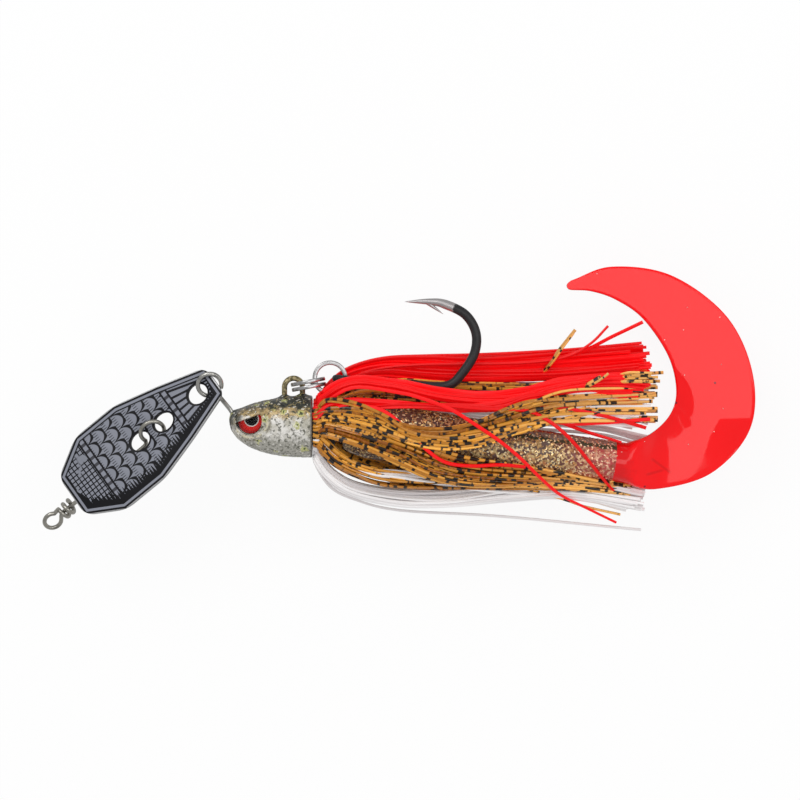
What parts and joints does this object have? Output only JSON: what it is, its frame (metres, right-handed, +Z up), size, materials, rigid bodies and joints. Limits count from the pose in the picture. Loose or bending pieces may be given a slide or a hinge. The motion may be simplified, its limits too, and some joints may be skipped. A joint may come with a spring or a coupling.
{
  "type": "bladed jig fishing lure",
  "caption": "Fishing lure with a swinging metal blade on a nose loop, weighted head, silicone skirt, soft curl-tail trailer and a hook hung on split rings.",
  "frame": {"origin": "under the middle of the lure as it lies on its side, on the table", "axes": "+X from nose to tail, +Y towards the lure's back and hook point, +Z up from the table"},
  "size_m": [0.1428, 0.0526, 0.017],
  "materials": {
    "head_paint": "gold and silver flake paint under clear lacquer",
    "steel_wire": "drawn stainless wire",
    "eye_foil": "printed foil, red iris and black pupil",
    "eye_dome": "clear cast dome",
    "blade_paint": "grey print with black lines on steel",
    "bright_wire": "nickel plate",
    "black_hook": "satin black nickel, bright ground point",
    "red_silicone": "smooth silicone strands",
    "amber_silicone": "amber silicone strands with black bars",
    "white_silicone": "pearl white silicone strands",
    "black_rubber": "matt rubber sleeve",
    "brown_plastisol": "translucent brown soft plastic with gold glitter",
    "red_plastisol": "glossy red soft plastic with few silver flecks"
  },
  "bodies": {
    "head": {"head_casting": "head_paint", "head_wire": "steel_wire", "eye_foil_left": "eye_foil", "eye_foil_right": "eye_foil", "eye_dome_left": "eye_dome", "eye_dome_right": "eye_dome", "skirt_red_front": "red_silicone", "skirt_red_back": "red_silicone", "skirt_amber_front": "amber_silicone", "skirt_amber_back": "amber_silicone", "skirt_white_front": "white_silicone", "skirt_white_back": "white_silicone", "skirt_collar": "black_rubber", "keeper_screw": "steel_wire", "trailer_body": "brown_plastisol"},
    "blade": {"blade": "blade_paint"},
    "line_tie": {"line_tie_wire": "steel_wire"},
    "front_ring": {"split_ring_front": "bright_wire"},
    "rear_ring": {"split_ring_rear": "bright_wire"},
    "hook": {"hook": "black_hook"},
    "tail": {"trailer_tail": "red_plastisol"}
  },
  "joints": [
    {"name": "blade_swing", "type": "hinge", "parent": "head", "child": "blade", "pos_m": [-0.03762, 0.00278, 0.01072], "axis": [0.071, -0.3615, 0.9297], "range_deg": [-75, 25]},
    {"name": "line_tie_swing", "type": "hinge", "parent": "blade", "child": "line_tie", "pos_m": [-0.04916, -0.00656, 0.00797], "axis": [0.2345, -0.5297, 0.8152], "range_deg": [0, 75]},
    {"name": "front_ring_swing", "type": "hinge", "parent": "head", "child": "front_ring", "pos_m": [-0.02091, 0.00231, 0.0086], "axis": [0, 0, 1], "range_deg": [0, 45]},
    {"name": "rear_ring_swing", "type": "hinge", "parent": "front_ring", "child": "rear_ring", "pos_m": [-0.01492, 0.00347, 0.0086], "axis": [0, 0, 1], "range_deg": [-4, 40]},
    {"name": "hook_swing", "type": "hinge", "parent": "rear_ring", "child": "hook", "pos_m": [-0.0136, 0.00418, 0.0086], "axis": [0, 0, 1], "range_deg": [-4, 50]},
    {"name": "tail_flex", "type": "hinge", "parent": "head", "child": "tail", "pos_m": [0.04524, -0.01282, 0.00682], "axis": [-0.1271, -0.9919, 0], "range_deg": [-5, 35]}
  ]
}
